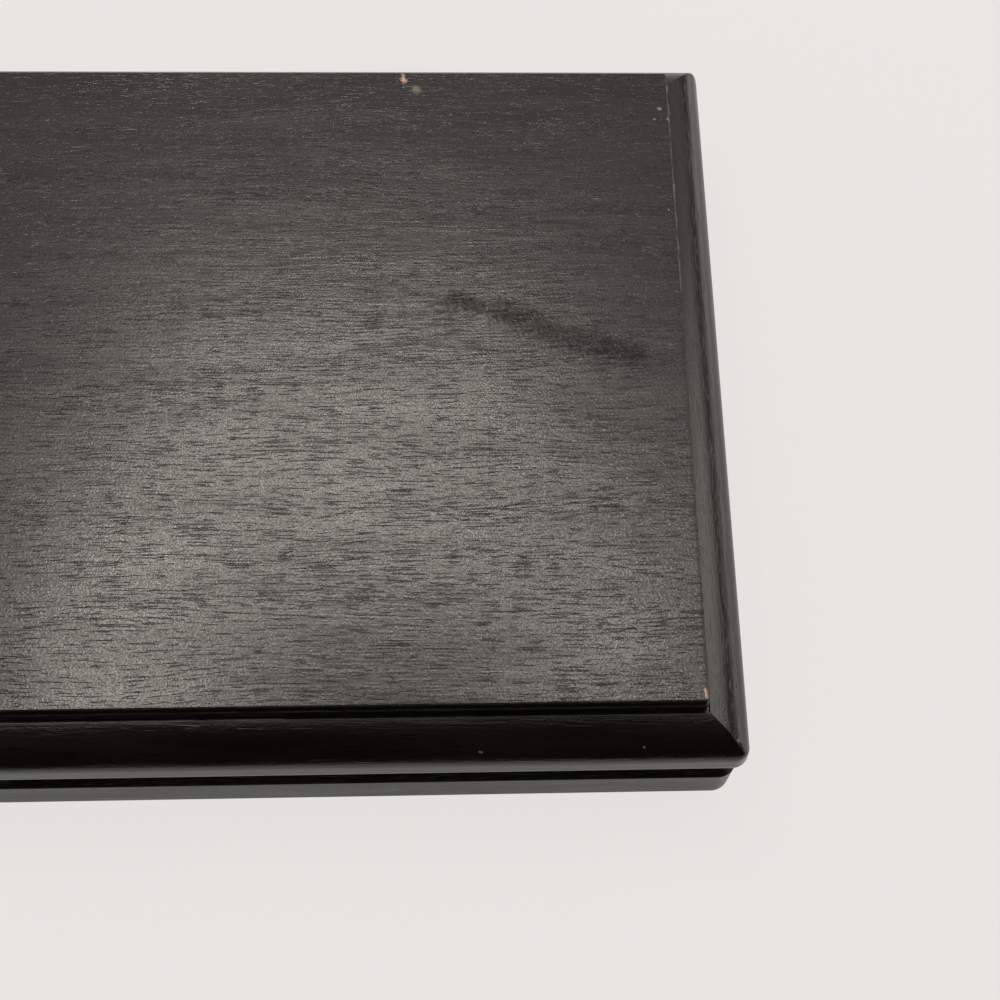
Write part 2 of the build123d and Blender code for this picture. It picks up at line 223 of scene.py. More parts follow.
def stained_wood(name, peel_height, pore_depth, gloss, shine=0.47, speckle=0.0, bare=(), rubs_and_highlights=(),
                 dust=(), dull=()):
    """Black-brown stain under a thin satin lacquer: nearly all that the eye gets is its soft reflection,
    which the relief breaks up. Lengths are in mm on the flat map, whose first coordinate runs along the
    grain. The relief is orange peel 0.7 mm across, fibres 16 x 0.7 mm, waves 40 x 9 mm and pores, which are
    noise drawn out to 11 x 0.5 and 5.5 x 0.45 mm and kept above a threshold that sinks where they crowd.
    Gloss is the roughness, shine the specular level, and speckle how much a fine grit varies both. Bare
    wood, grey-brown rubs and painted highlights, dust and dulled places are each a list of strokes (start,
    end, radius)."""
    material, tree = new_material(name)
    flat = node(tree, "ShaderNodeUVMap", {}, uv_map="grain")
    flat = node(tree, "ShaderNodeVectorMath", {0: flat, "Scale": 1 / mm}, operation="SCALE")
    place = node(tree, "ShaderNodeTexCoord", {}).outputs["Object"]
    place = node(tree, "ShaderNodeVectorMath", {0: place, "Scale": 1 / mm}, operation="SCALE")
    askew = node(tree, "ShaderNodeMapping", {"Vector": place, "Rotation": (0.5, 0.3, 0.6)})

    def stretched(grain, length, width, detail, start=0.0):
        """Noise drawn out along the grain to this length and width, from its own starting place."""
        spread = node(tree, "ShaderNodeVectorMath", {
            0: grain, 1: (1 / length, 1 / width, 1.0), 2: (start, start, 0.0)}, operation="MULTIPLY_ADD")
        return node(tree, "ShaderNodeTexNoise", {"Vector": spread, "Scale": 1.0, "Detail": detail},
                    noise_dimensions="2D")

    # The grain wanders up to 2 mm aside, over lengths of about 90 mm.
    wander = node(tree, "ShaderNodeMapRange", {
        "Value": stretched(flat, 90.0, 40.0, 1.0, 5.3), "From Min": 0.2, "From Max": 0.8,
        "To Min": -2.0, "To Max": 2.0}, interpolation_type="SMOOTHSTEP")
    wander = node(tree, "ShaderNodeCombineXYZ", {"Y": wander})
    grain = node(tree, "ShaderNodeVectorMath", {0: flat, 1: wander}, operation="ADD")

    # The pores' dark cores, and the wider dips that the lacquer makes as it sinks into them, first for the
    # long pores and then for the short ones, which are shallower.
    crowd = node(tree, "ShaderNodeMapRange", {
        "Value": stretched(grain, 70.0, 9.0, 2.0, 11.7), "From Min": 0.40, "From Max": 0.68,
        "To Min": 0.015, "To Max": 0.07}, interpolation_type="SMOOTHSTEP")
    cores = dips = 0.0
    for length, width, start, core_from, dip_from, most in (
            (11.0, 0.50, 0.0, 0.72, 0.66, 1.0), (5.5, 0.45, 3.1, 0.73, 0.68, 0.8)):
        pores = node(tree, "ShaderNodeMath", {0: stretched(grain, length, width, 1.0, start), 1: crowd},
                     operation="ADD")
        core = node(tree, "ShaderNodeMapRange", {
            "Value": pores, "From Min": core_from, "From Max": core_from + 0.06,
            "To Min": 0.0, "To Max": most}, interpolation_type="SMOOTHSTEP")
        dip = node(tree, "ShaderNodeMapRange", {
            "Value": pores, "From Min": dip_from, "From Max": 0.81,
            "To Min": 0.0, "To Max": most}, interpolation_type="SMOOTHSTEP")
        cores = node(tree, "ShaderNodeMath", {0: cores, 1: core}, operation="MAXIMUM")
        dips = node(tree, "ShaderNodeMath", {0: dips, 1: dip}, operation="MAXIMUM")

    fibre_height, wave_height = 0.028, 0.14
    peel = node(tree, "ShaderNodeTexNoise", {"Vector": askew, "Scale": 1.4, "Detail": 1.5})
    height = node(tree, "ShaderNodeMath", {0: peel, 1: peel_height}, operation="MULTIPLY")
    for form, size in (
            (stretched(grain, 16.0, 0.7, 1.0, 7.9), fibre_height),
            (stretched(grain, 40.0, 9.0, 2.0, 2.6), wave_height),
            (dips, -pore_depth)):
        height = node(tree, "ShaderNodeMath", {0: form, 1: size, 2: height}, operation="MULTIPLY_ADD")

    # The stain is a little lighter in bands along the grain, and the lacquer a little duller there.
    bands = stretched(grain, 60.0, 7.0, 3.0, 8.4)
    stain = node(tree, "ShaderNodeMix", {"Factor": bands, "A": srgb("#050403"), "B": srgb("#100c09")},
                 data_type="RGBA").outputs["Result"]
    stain = node(tree, "ShaderNodeMix", {"Factor": cores, "A": stain, "B": srgb("#030202")},
                 data_type="RGBA").outputs["Result"]
    rough = node(tree, "ShaderNodeMapRange", {
        "Value": bands, "From Min": 0.3, "From Max": 0.7, "To Min": gloss - 0.02, "To Max": gloss + 0.02},
        interpolation_type="SMOOTHSTEP")
    if speckle:
        # The grit makes the lacquer duller and rougher by turns, and it is duller in the pores too.
        grit = node(tree, "ShaderNodeTexNoise", {
            "Vector": askew, "Scale": 2.0, "Detail": 1.0, "Roughness": 0.6})
        for source, low, high, at_low, at_high in (
                (grit, 0.3, 0.7, 1.0 + speckle, 1.0 - speckle), (cores, 0.0, 1.0, 1.0, 0.66)):
            left_over = node(tree, "ShaderNodeMapRange", {
                "Value": source, "From Min": low, "From Max": high, "To Min": at_low, "To Max": at_high},
                interpolation_type="SMOOTHSTEP")
            shine = node(tree, "ShaderNodeMath", {0: left_over, 1: shine}, operation="MULTIPLY")
        coarser = node(tree, "ShaderNodeMapRange", {
            "Value": grit, "From Min": 0.3, "From Max": 0.7, "To Min": -0.15, "To Max": 0.15},
            interpolation_type="SMOOTHSTEP")
        rough = node(tree, "ShaderNodeMath", {0: coarser, 1: speckle, 2: rough}, operation="MULTIPLY_ADD")

    ragged = node(tree, "ShaderNodeTexNoise", {"Vector": place, "Scale": 1.1, "Detail": 4.0})
    patchy = node(tree, "ShaderNodeTexNoise", {"Vector": place, "Scale": 0.2, "Detail": 6.0})

    def strokes(places, edge, fringe, inner):
        """One mask of all these strokes, each (start, end, radius): 1 near its line and 0 beyond the radius,
        with an edge made ragged by a noise. The nearest place on the line is start + t (end - start), with t
        held from 0 to 1."""
        mask = 0.0
        frayed = node(tree, "ShaderNodeMath", {0: edge, 1: fringe, 2: -0.5 * fringe},
                      operation="MULTIPLY_ADD")
        for start, end, radius in places:
            line = np.subtract(end, start)
            offset = node(tree, "ShaderNodeVectorMath", {0: place, 1: start}, operation="SUBTRACT")
            share = node(tree, "ShaderNodeVectorMath", {0: offset, 1: line / (line @ line)},
                         operation="DOT_PRODUCT")
            share = node(tree, "ShaderNodeClamp", {0: share.outputs["Value"]})
            foot = node(tree, "ShaderNodeVectorMath", {0: line, "Scale": share}, operation="SCALE")
            reach = node(tree, "ShaderNodeVectorMath", {0: offset, 1: foot}, operation="DISTANCE")
            reach = node(tree, "ShaderNodeMath", {0: reach.outputs["Value"], 1: 1 / radius, 2: frayed},
                         operation="MULTIPLY_ADD")
            near = node(tree, "ShaderNodeMapRange", {
                "Value": reach, "From Min": inner, "From Max": 1.15, "To Min": 1.0, "To Max": 0.0},
                interpolation_type="SMOOTHSTEP")
            mask = node(tree, "ShaderNodeMath", {0: near, 1: mask}, operation="MAXIMUM")
        return mask

    if dull:
        # Scuffed lacquer reflects less and spreads it a little wider, most on top of the orange peel.
        crests = node(tree, "ShaderNodeMapRange", {
            "Value": peel, "From Min": 0.35, "From Max": 0.62, "To Min": 0.45, "To Max": 1.0},
            interpolation_type="SMOOTHSTEP")
        scuffed = node(tree, "ShaderNodeMath", {0: strokes(dull, ragged, 2.0, 0.35), 1: crests},
                       operation="MULTIPLY")
        rough = node(tree, "ShaderNodeMath", {0: scuffed, 1: 0.06, 2: rough}, operation="MULTIPLY_ADD")
        left_over = node(tree, "ShaderNodeMath", {0: scuffed, 1: -0.62, 2: 1.0}, operation="MULTIPLY_ADD")
        shine = node(tree, "ShaderNodeMath", {0: left_over, 1: shine}, operation="MULTIPLY")

    # Grey-brown strokes, which are rubbed through to the sealer in some places and painted highlights along
    # eased edges in others, dust, and chips 0.12 mm deep to raw reddish wood.
    raw = node(tree, "ShaderNodeMapRange", {
        "Value": ragged, "From Min": 0.42, "From Max": 0.58, "To Min": 0.0, "To Max": 1.0},
        interpolation_type="SMOOTHSTEP")
    raw = node(tree, "ShaderNodeMix", {"Factor": raw, "A": srgb("#6b5146"), "B": srgb("#a89384")},
               data_type="RGBA").outputs["Result"]
    for places, edge, fringe, inner, colour, rougher, depth in (
            # The grey-brown is rubbed wear, and along eased seam edges it is also a painted highlight.
            (rubs_and_highlights, patchy, 3.0, 0.0, srgb("#56544a"), 0.2, 0.0),
            (dust, ragged, 2.0, 0.1, srgb("#74716a"), 0.4, 0.0),
            (bare, ragged, 3.0, 0.7, raw, 0.4, 0.12)):
        if places:
            worn = strokes(places, edge, fringe, inner)
            stain = node(tree, "ShaderNodeMix", {"Factor": worn, "A": stain, "B": colour},
                         data_type="RGBA").outputs["Result"]
            rough = node(tree, "ShaderNodeMath", {0: worn, 1: rougher, 2: rough}, operation="MULTIPLY_ADD")
            height = node(tree, "ShaderNodeMath", {0: worn, 1: -depth, 2: height}, operation="MULTIPLY_ADD")

    relief = node(tree, "ShaderNodeBump", {"Height": height, "Distance": mm, "Strength": 1.0})
    surface = node(tree, "ShaderNodeBsdfPrincipled", {
        "Base Color": stain, "Roughness": rough, "IOR": 1.5, "Specular IOR Level": shine, "Normal": relief})
    node(tree, "ShaderNodeOutputMaterial", {"Surface": surface})
    return material


def outline(parts, longest):
    """The parts joined end to end and back to the start. A straight run longer than this is divided evenly,
    with a point close to each of its ends that keeps the neighbouring curve's shading out of it."""
    corners = np.concatenate(parts + [parts[0][:1]])
    gaps = np.linalg.norm(np.diff(corners, axis=0), axis=1)
    guard = 0.15 * mm
    places = []
    for i, gap in enumerate(gaps):
        inside = np.linspace(0, 1, int(np.ceil(gap / longest)) + 1)[1:-1]
        guards = np.array([guard, gap - guard]) / gap if gap > 4 * guard else []
        places.append(i + np.unique(np.concatenate([[0.0], inside, guards])))
    places = np.concatenate(places + [[len(gaps)]])
    return np.stack([np.interp(places, np.arange(len(corners)), corners[:, i]) for i in (0, 1)], axis=1)


panel_low, panel_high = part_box("lid_veneer")
half_length, half_depth = panel_high.x, panel_high.y
outward = {"front": (0, -1), "back": (0, 1), "left": (-1, 0), "right": (1, 0)}


def mitred_length(side, sections, stations, radius, blunt=(1.0, 1.0)):
    """One length along a side of the box. At each station its closed section (x outside the panel's edge, z)
    runs straight. At both ends a point turns on an arc of its own radius r, as far as the mitre:
    along = half + x - r + r sin a, out = x - r + r cos a, with a from 0 to 45 degrees. Blunt is how much of
    its radius each end has. The flat map is (along, distance round the section), and each side's grain
    starts 0.41 m on from the last one's."""
    out = np.array(outward[side], float)
    run = np.array([-out[1], out[0]])
    half, across = (half_length, half_depth) if out[0] == 0 else (half_depth, half_length)
    stations = np.asarray(stations)[:, None]
    turn = np.radians(np.linspace(0, 45, 8))[:, None]
    x, z = sections[-1, :, 0], sections[-1, :, 1]
    first_r, last_r = [radius * share for share in blunt]
    first_along = -(half + x - first_r + first_r * np.sin(turn))[::-1]
    first_out = (x - first_r + first_r * np.cos(turn))[::-1]
    last_along = half + x - last_r + last_r * np.sin(turn)
    last_out = x - last_r + last_r * np.cos(turn)
    rows = len(turn)
    along = np.concatenate([first_along, np.broadcast_to(stations, sections.shape[:2]), last_along])
    beyond = np.concatenate([first_out, sections[:, :, 0], last_out])
    level = np.concatenate([np.tile(z, (rows, 1)), sections[:, :, 1], np.tile(z, (rows, 1))])
    plan = along[..., None] * run + (across + beyond)[..., None] * out
    steps = np.linalg.norm(np.diff(sections[0], axis=0), axis=1)
    round_it = np.concatenate([[0.0], np.cumsum(steps)])
    grain_start = 0.41 * list(outward).index(side)
    flat = np.stack([along + grain_start, np.broadcast_to(round_it, along.shape)], axis=2)
    return [[np.concatenate([plan, level[..., None]], axis=2), flat]]


pin_low, pin_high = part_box("hinge_pin_right")
leaf_low, leaf_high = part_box("case_hinge_leaf_right")
hinge_places = [-(leaf_low.x + leaf_high.x) / 2, (leaf_low.x + leaf_high.x) / 2]
barrel_radius = 2.0 * mm
barrel_room = barrel_radius + 0.3 * mm
axis_out = leaf_high.y - barrel_radius - half_depth
axis_level = frame["joints"][0]["pos_m"][2]
leaf_start = leaf_low.y - half_depth
side_room = 0.1 * mm


def hinged(section, face, upward):
    """The section where it runs plain, past a hinge barrel, and past a whole leaf. The face is moved to the
    leaf's back, and to the circle of the barrel's slot, where they reach deeper than the face."""
    x, z = section[:, 0], section[:, 1]
    sign = 1 if upward else -1
    inside = np.abs(x - axis_out) < barrel_room
    slot = axis_level + sign * np.sqrt(np.maximum(barrel_room**2 - (x - axis_out) ** 2, 0))
    slot = np.where(inside, slot, face)
    leaf_thick, near_face, near_leaf = 1.0 * mm, 6 * mm, 2 * mm
    bed = np.where((x > leaf_start) & (x < axis_out), face + sign * leaf_thick, face)
    moved = (sign * (z - face) < near_face) & (x > leaf_start - near_leaf)
    deepest = np.maximum if upward else np.minimum
    past_barrel = np.where(moved, deepest(z, slot), z)
    past_leaf = np.where(moved, deepest(past_barrel, bed), z)
    return [np.stack([x, level], axis=1) for level in (z, past_barrel, past_leaf)]


def plain_run(side, section, spacing):
    """Even stations along a side, which end 12 mm before the panel's corners, and the section at each."""
    limit = (half_length if side in ("front", "back") else half_depth) - 12 * mm
    stations = np.linspace(-limit, limit, int(2 * limit / spacing) + 1)
    return stations, np.broadcast_to(section, (len(stations),) + section.shape)


def let_in_run(side, section, face, upward, spacing):
    """The same, with the hinges' let-ins in the back. Each stop is (place, order, form). Beside a hinge two
    forms stand at one place, in this order, which makes the end walls of the let-in."""
    stations, sections = plain_run(side, section, spacing)
    if side != "back":
        return stations, sections
    slot_half = (pin_high.x - pin_low.x) / 2 + side_room
    leaf_half = (leaf_high.x - leaf_low.x) / 2 + side_room
    clear = slot_half + 1 * mm
    stops = [(x, 0, 0) for x in stations if all(abs(x - middle) > clear for middle in hinge_places)]
    end_walls = ((-slot_half, (0, 1)), (-leaf_half, (1, 2)), (leaf_half, (2, 1)), (slot_half, (1, 0)))
    for middle in hinge_places:
        stops += [(middle + x, order, pair[order]) for x, pair in end_walls for order in (0, 1)]
        stops += [(middle + x, 0, 2) for x in np.linspace(-0.9, 0.9, 7) * leaf_half]
    stops.sort()
    forms = hinged(section, face, upward)
    return np.array([place for place, _, _ in stops]), np.array([forms[form] for _, _, form in stops])


wall_low, wall_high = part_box("case_wall_right")
board_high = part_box("case_bottom")[1]
wall_in, wall_out = wall_low.x - half_length, wall_high.x - half_length
rebate = board_high.x + side_room - half_length
eased, wall_corner = 0.3 * mm, 0.35 * mm
hair = 0.01 * mm
wall_outline = outline([
    arc(wall_in + eased, wall_high.z - eased, eased, 180, 90, 4),
    np.array([[leaf_start - hair, wall_high.z], [leaf_start + hair, wall_high.z]]),
    arc(wall_out - eased, wall_high.z - eased, eased, 90, 0, 4),
    np.array([[wall_out, wall_low.z], [rebate, wall_low.z], [rebate, board_high.z], [wall_in, board_high.z]]),
], longest=1.0 * mm)
wall_wood = stained_wood("maple_stained_satin_lacquer_walls", peel_height=0.04, pore_depth=0.04, gloss=0.25)
for side in outward:
    stations, sections = let_in_run(side, wall_outline, wall_high.z, upward=False, spacing=8 * mm)
    wall_sheets = mitred_length(side, sections, stations, wall_corner)
    wall = add_piece(f"case_wall_{side}_length", wall_sheets, ends=True)
    wall.data.materials.append(wall_wood)
    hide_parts(f"case_wall_{side}")
    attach(wall, "case")

# Plinth mouldings
# Four lengths of wood glued round the foot of the walls: an upright face, sanded soft, under a steep bevel.
# Their corners were sanded round after gluing, and they wear the same stain and lacquer.
base_low, base_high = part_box("base_moulding_right")
base_out = base_high.x - half_length
bevel_width, bevel_height = 2.5 * mm, 5.0 * mm
face_top = base_high.z - bevel_height + 1.7 * mm
arris = 0.35 * mm
base_outline = outline([
    arc(base_out - arris, base_low.z + arris, arris, -90, 0, 4),
    arc(base_out - arris, face_top - 0.6 * arris, arris, 0, 45, 3),
    arc(base_out - bevel_width - 0.8 * mm, base_high.z - arris, arris, 45, 90, 3),
    np.array([[wall_out, base_high.z], [wall_out, base_low.z]]),
], longest=1.0 * mm)
base_radius = np.interp(base_outline[:, 0], [wall_out, base_out - bevel_width, base_out],
                        [0.3 * mm, 3.5 * mm, 5.5 * mm])
base_wood = stained_wood("maple_stained_satin_lacquer_plinth", peel_height=0.06, pore_depth=0.03, gloss=0.28,
                         shine=0.19)
for side in outward:
    stations, sections = plain_run(side, base_outline, spacing=8 * mm)
    base_sheets = mitred_length(side, sections, stations, base_radius)
    plinth = add_piece(f"base_moulding_{side}_length", base_sheets, ends=True)
    plinth.data.materials.append(base_wood)
    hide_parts(f"base_moulding_{side}")
    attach(plinth, "case")

# Floor lining
# Beige velvet glued over a 2 mm card, pressed in between the walls before the strips and dividers.
# The pile is short and lies in brushed patches, whose lighter and darker sheen is painted into its colour.


def cotton_velvet():
    """Short-pile cotton velvet: matt, with a soft sheen at grazing angles. Its pile tips are drawn about
    0.35 mm across, coarser than real so that they show, in brushed patches about 18 mm long, whose lighter
    and darker sheen is painted into the colour."""
    material, tree = new_material("cotton_velvet_beige")
    place = node(tree, "ShaderNodeTexCoord", {}).outputs["Object"]
    pile = node(tree, "ShaderNodeTexNoise", {"Vector": place, "Scale": 1 / (0.35 * mm), "Detail": 2.0})
    brushed = node(tree, "ShaderNodeTexNoise", {
        "Vector": place, "Scale": 1 / (18 * mm), "Detail": 2.0, "Distortion": 0.4})
    pile_sheen_painted = node(tree, "ShaderNodeMapRange", {
        "Value": brushed, "From Min": 0.35, "From Max": 0.65, "To Min": 0.0, "To Max": 1.0})
    # Painted sheen: the brushed patches are made lighter or darker in colour, as their pile would catch the
    # light.
    colour = node(tree, "ShaderNodeMix", {"Factor": pile_sheen_painted, "A": srgb("#a09180"), "B": srgb("#b2a490")},
                  data_type="RGBA").outputs["Result"]
    tips = node(tree, "ShaderNodeMapRange", {
        "Value": pile, "From Min": 0.3, "From Max": 0.7, "To Min": 0.0, "To Max": 0.35})
    colour = node(tree, "ShaderNodeMix", {"Factor": tips, "A": colour, "B": srgb("#6f6252")},
                  data_type="RGBA").outputs["Result"]
    both = node(tree, "ShaderNodeMath", {0: brushed, 1: 1.5, 2: pile}, operation="MULTIPLY_ADD")
    relief = node(tree, "ShaderNodeBump", {"Height": both, "Distance": 0.12 * mm, "Strength": 0.9})
    surface = node(tree, "ShaderNodeBsdfPrincipled", {
        "Base Color": colour, "Roughness": 0.9, "Specular IOR Level": 0.15, "Sheen Weight": 0.6,
        "Sheen Roughness": 0.35, "Sheen Tint": srgb("#e9dfd0"), "Normal": relief})
    node(tree, "ShaderNodeOutputMaterial", {"Surface": surface})
    return material


velvet = cotton_velvet()
lining_low, lining_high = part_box("floor_lining")
lining_soft, lining_corner = 0.5 * mm, 0.6 * mm
lining_edge = np.concatenate([
    arc(-lining_soft, lining_high.z - lining_soft, lining_soft, 90, 0, 4),
    np.array([[0.0, lining_low.z]]),
])
lining_sheets = slab(lining_low, lining_high, lining_corner, lining_edge, step=6 * mm)
lining = add_piece("floor_lining_velvet", lining_sheets)
lining.data.materials.append(velvet)
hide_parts("floor_lining")
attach(lining, "case")

# Wall linings
# Four card strips wrapped in the same velvet, standing on the floor lining against the walls.
# Their wrapped top edge is round, a little below the rim of the case, and they are mitred at the corners.
strip_low, strip_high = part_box("wall_lining_right")
strip_in, strip_out = strip_low.x - half_length, strip_high.x - half_length
strip_soft = (strip_out - strip_in) / 2
strip_outline = outline([
    arc(strip_in + strip_soft, strip_high.z - strip_soft, strip_soft, 180, 0, 10),
    np.array([[strip_out, strip_low.z], [strip_in, strip_low.z]]),
], longest=1.5 * mm)
for side in outward:
    stations, sections = plain_run(side, strip_outline, spacing=6 * mm)
    strip_sheets = mitred_length(side, sections, stations, radius=0.0)
    strip = add_piece(f"wall_lining_{side}_strip", strip_sheets, ends=True)
    strip.data.materials.append(velvet)
    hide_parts(f"wall_lining_{side}")
    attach(strip, "case")

# Dividers
# Card strips wrapped in velvet, 4 mm thick with a rounded top: one long, one across, and two short ones
# that part the front left bay into three cells. They stand on the floor lining and are glued end to wall.


def wrapped_bar(low, high, section, end_radius, lengthwise, steps):
    """A closed section (across from -1 to 1, up from 0 to 1) carried along the longer side of a box. Near
    each end, at distance d, it draws in by r - sqrt(r^2 - (r - d)^2), and its end face closes in rings."""
    low, high = np.array(low), np.array(high)
    u, v = (0, 1) if lengthwise else (1, 0)
    length, half_width, tall = high[u] - low[u], (high[v] - low[v]) / 2, high[2] - low[2]
    near = end_radius * (1 - np.cos(np.radians(np.linspace(0, 90, 8))))
    middle = np.linspace(end_radius, length - end_radius, steps)[1:-1]
    along = np.concatenate([near, middle, length - near[::-1]])
    distance = np.minimum(along, length - along).clip(0, end_radius)
    inset = end_radius - np.sqrt(end_radius**2 - (end_radius - distance) ** 2)
    closing, closing_level = np.array([0.02, 0.35, 0.7]), 0.45
    share = np.concatenate([closing, np.ones(len(along)), closing[::-1]])[:, None]
    along, inset = [np.pad(values, len(closing), mode="edge")[:, None] for values in (along, inset)]
    across = share * (half_width - inset) * section[:, 0]
    up = closing_level * tall * (1 - share) + share * (tall - inset) * section[:, 1]
    place = np.empty(across.shape + (3,))
    place[..., u] = low[u] + along
    place[..., v] = (low[v] + high[v]) / 2 + (across if lengthwise else -across)
    place[..., 2] = low[2] + up
    steps_round = np.linalg.norm(np.diff(section * [half_width, tall], axis=0), axis=1)
    round_it = np.concatenate([[0.0], np.cumsum(steps_round)])
    return [[place, np.stack(np.broadcast_arrays(along, round_it), axis=2)]]


for name in ("divider_long", "divider_cross", "divider_short_1", "divider_short_2"):
    low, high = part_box(name)
    lengthwise = name == "divider_cross"
    thick = (high.y - low.y) if lengthwise else (high.x - low.x)
    tall = high.z - low.z
    top = arc(0.0, tall - thick / 2, thick / 2, 0, 180, 12)
    foot = np.array([[-thick / 2, 0.0], [thick / 2, 0.0]])
    section = outline([top, foot], longest=1.5 * mm) / [thick / 2, tall]
    bar_sheets = wrapped_bar(low, high, section, 0.4 * mm, lengthwise, steps=30)
    bar = add_piece(f"{name}_wrapped", bar_sheets, ends=True)
    bar.data.materials.append(velvet)
    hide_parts(name)
    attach(bar, "case")

# Ring rolls
# Five foam rolls in velvet, side by side and pressed together, so that a ring is held between two of them.
# Each is flat below, domed above and tucked round the ends, and the foam presses the velvet into soft folds.


def even_loop(points, count):
    """A closed line of points sampled again at even steps of its length."""
    loop = np.concatenate([points, points[:1]])
    reach = np.concatenate([[0.0], np.cumsum(np.linalg.norm(np.diff(loop, axis=0), axis=1))])
    places = np.linspace(0, reach[-1], count + 1)
    return np.stack([np.interp(places, reach, loop[:, i]) for i in (0, 1)], axis=1)


def press_out(piece, glued, slack, most, low, high):
    """Foam pressing its cover out. The mesh runs as cloth for some frames under an even inner pressure with
    no gravity, cut larger than the foam by the slack, while the glued points stay. A point that would move
    by d moves by most tanh(d / most), and none leaves the box from low to high."""
    frames = 20
    mesh = piece.data
    rest = np.empty(3 * len(mesh.vertices))
    mesh.vertices.foreach_get("co", rest)
    rest = rest.reshape(-1, 3)
    group = piece.vertex_groups.new(name="glued")
    group.add(np.flatnonzero(glued(rest)).tolist(), 1.0, "REPLACE")
    cloth = piece.modifiers.new("velvet_over_foam", "CLOTH")
    cloth.settings.quality = 5
    cloth.settings.mass = 0.05
    cloth.settings.tension_stiffness = cloth.settings.compression_stiffness = 8.0
    cloth.settings.bending_stiffness = 0.3
    cloth.settings.use_pressure = True
    cloth.settings.uniform_pressure_force = 4.0
    cloth.settings.shrink_min = -slack
    cloth.settings.effector_weights.gravity = 0.0
    cloth.settings.vertex_group_mass = group.name
    cloth.collision_settings.use_collision = False
    cloth.point_cache.frame_start, cloth.point_cache.frame_end = 1, frames
    for step in range(1, frames + 1):
        bpy.context.scene.frame_set(step)
    pressed = np.empty(rest.size)
    piece.evaluated_get(bpy.context.evaluated_depsgraph_get()).data.vertices.foreach_get("co", pressed)
    move = pressed.reshape(-1, 3) - rest
    way = np.linalg.norm(move, axis=1, keepdims=True).clip(1e-9)
    pressed = rest + move / way * most * np.tanh(way / most)
    mesh.vertices.foreach_set("co", pressed.clip(low, high).ravel())
    piece.modifiers.remove(cloth)
    piece.vertex_groups.remove(group)
    bpy.context.scene.frame_set(1)


def subdivided(piece):
    """One smooth subdivision, which rounds the folds between the mesh's points."""
    smooth = piece.modifiers.new("smooth", "SUBSURF")
    smooth.levels = smooth.render_levels = 1


fold_room, fold_most = 0.6 * mm, 0.9 * mm
glue_height = 0.6 * mm
shoulder, draw, roll_end = 9.0 * mm, 0.7 * mm, 3.0 * mm
for i in range(1, 6):
    low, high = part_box(f"ring_roll_{i}")
    start_low = np.array(low) + [fold_room, fold_room, 0.0]
    start_high = np.array(high) - fold_room
    half_width, tall = (start_high[1] - start_low[1]) / 2, start_high[2] - start_low[2]
    # The section is a dome over the shoulders, and sides that bulge out by the draw on their way down.
    inner = half_width - draw
    angle = np.linspace(0, np.pi, 25)
    dome_level = shoulder + (tall - shoulder) * np.sin(angle) ** 0.85
    dome = np.stack([inner * np.cos(angle), dome_level], axis=1)
    bulge = np.linspace(1, 0, 9)[1:]
    left = np.stack([-inner - draw * np.sin(np.pi * bulge), shoulder * bulge], axis=1)
    right = left[::-1] * [-1, 1]
    section = even_loop(np.concatenate([dome, left, right]), count=42) / [half_width, tall]
    roll_sheets = wrapped_bar(start_low, start_high, section, roll_end, lengthwise=True, steps=66)
    roll = add_piece(f"ring_roll_{i}_velvet", roll_sheets, ends=True, crease=80.0)
    slack = 0.010 + 0.002 * (i % 3)
    press_out(roll, lambda point: point[:, 2] < low.z + glue_height, slack, fold_most,
              np.array(low), np.array(high))
    subdivided(roll)
    roll.data.materials.append(velvet)
    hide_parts(f"ring_roll_{i}")
    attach(roll, "case")

# Hinges
# Two brass butt hinges, 30 mm long, let into the back wall and the lid's back moulding. Each leaf is a
# stamped and rolled sheet with countersunk holes, and a brass pin with small heads runs through the barrel.


def brass(name, light, dark):
    """Rolled brass under a thin clear varnish: a warm metal with fine rolling lines about 0.3 mm apart and
    faint tarnish in patches of about 4 mm."""
    material, tree = new_material(name)
    place = node(tree, "ShaderNodeTexCoord", {}).outputs["Object"]
    lines = node(tree, "ShaderNodeTexNoise", {
        "Vector": node(tree, "ShaderNodeMapping", {"Vector": place, "Scale": (0.08, 1.0, 1.0)}),
        "Scale": 1 / (0.3 * mm), "Detail": 3.0})
    tarnish = node(tree, "ShaderNodeTexNoise", {"Vector": place, "Scale": 1 / (4 * mm), "Detail": 4.0})
    colour = node(tree, "ShaderNodeMix", {"Factor": tarnish, "A": srgb(light), "B": srgb(dark)},
                  data_type="RGBA").outputs["Result"]
    rough = node(tree, "ShaderNodeMapRange", {
        "Value": tarnish, "From Min": 0.3, "From Max": 0.7, "To Min": 0.24, "To Max": 0.42})
    relief = node(tree, "ShaderNodeBump", {"Height": lines, "Distance": 0.01 * mm, "Strength": 0.5})
    surface = node(tree, "ShaderNodeBsdfPrincipled", {
        "Base Color": colour, "Metallic": 1.0, "Roughness": rough, "Normal": relief})
    node(tree, "ShaderNodeOutputMaterial", {"Surface": surface})
    return material


leaf_brass = brass("rolled_brass_leaf", "#d9b56a", "#a98343")
pin_brass = brass("turned_brass_pin", "#c9a55c", "#94733a")
for side in ("left", "right"):
    finish_node(f"case_hinge_leaf_{side}", leaf_brass)
    finish_node(f"lid_hinge_leaf_{side}", leaf_brass)
    finish_node(f"hinge_pin_{side}", pin_brass)

# Hinge screws
# Three slotted countersunk screws in each leaf, of brass-plated steel, driven home flush with the leaf.
# Their plating is a little paler and greyer than the rolled brass around it.
screw_plate = brass("brass_plated_steel_screw", "#cdb074", "#8d7038")
finish_node("case_hinge_screws", screw_plate)
finish_node("lid_hinge_screws", screw_plate)

